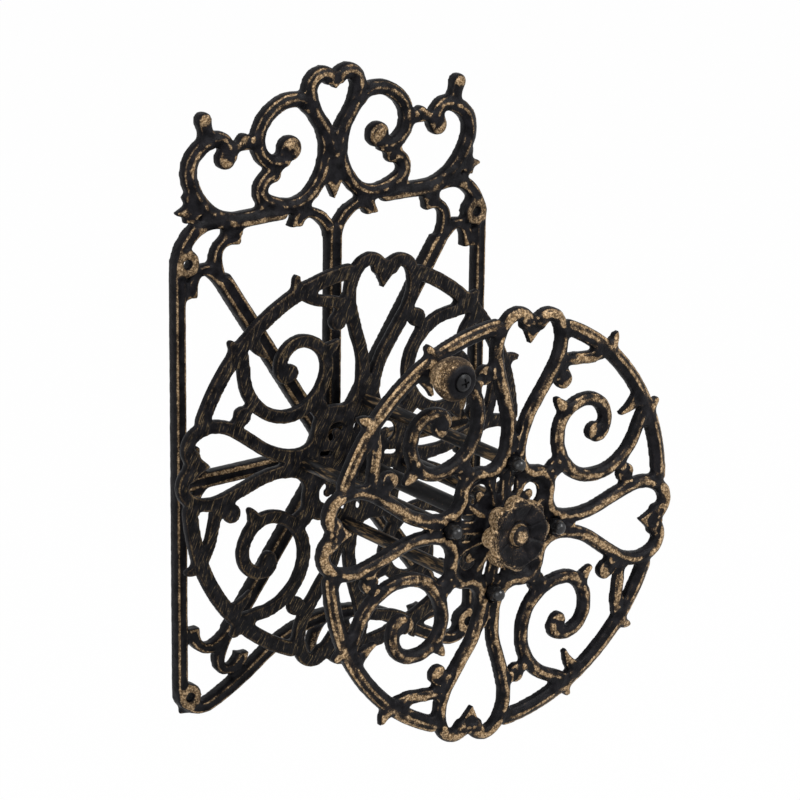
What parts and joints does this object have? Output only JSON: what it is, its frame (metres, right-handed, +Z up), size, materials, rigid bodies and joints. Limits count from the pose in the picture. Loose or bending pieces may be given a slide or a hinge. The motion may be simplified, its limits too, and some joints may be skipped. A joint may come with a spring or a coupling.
{
  "type": "wall hose hanger",
  "caption": "Ornate cast-iron wall hanger with a turning reel of two scrollwork discs on drum rods, cranked by a rim knob, for winding a garden hose.",
  "frame": {"origin": "reel axis where it meets the wall plane, the plate's flat back", "axes": "+Z up the wall, +X to the right seen from in front, -Y out of the wall towards the user"},
  "size_m": [0.2532, 0.193, 0.3796],
  "materials": {
    "plate_iron": "near-black paint over a sand-cast surface, ridges dry-brushed in dull gold",
    "flange_iron": "near-black paint over a sand-cast surface, ridges dry-brushed in dull gold",
    "rosette_iron": "near-black paint over a sand-cast surface, ridges dry-brushed in dull gold",
    "knob_iron": "dull gold over black, black front face",
    "rod_steel": "black paint rubbed with dull gold",
    "axle_steel": "black paint",
    "nut_steel": "satin black",
    "hardware_steel": "satin black"
  },
  "bodies": {
    "wall_unit": {"wall_plate": "plate_iron", "axle": "axle_steel", "axle_lock_nut": "hardware_steel", "rear_washer": "hardware_steel", "front_washer": "hardware_steel", "rosette": "rosette_iron"},
    "reel": {"front_flange": "flange_iron", "rear_flange": "flange_iron", "drum_rod_1": "rod_steel", "drum_rod_2": "rod_steel", "drum_rod_3": "rod_steel", "drum_rod_4": "rod_steel", "acorn_nuts": "nut_steel", "rear_rod_nuts": "hardware_steel", "knob_screw": "nut_steel", "knob_washer": "hardware_steel", "knob_nut": "hardware_steel"},
    "crank_knob": {"knob": "knob_iron"}
  },
  "joints": [
    {"name": "reel_spin", "type": "hinge", "parent": "wall_unit", "child": "reel", "pos_m": [0, 0, 0], "axis": [0, -1, 0], "continuous": true},
    {"name": "knob_spin", "type": "hinge", "parent": "reel", "child": "crank_knob", "pos_m": [-0.04997, 0, 0.10056], "axis": [0, -1, 0], "continuous": true}
  ]
}
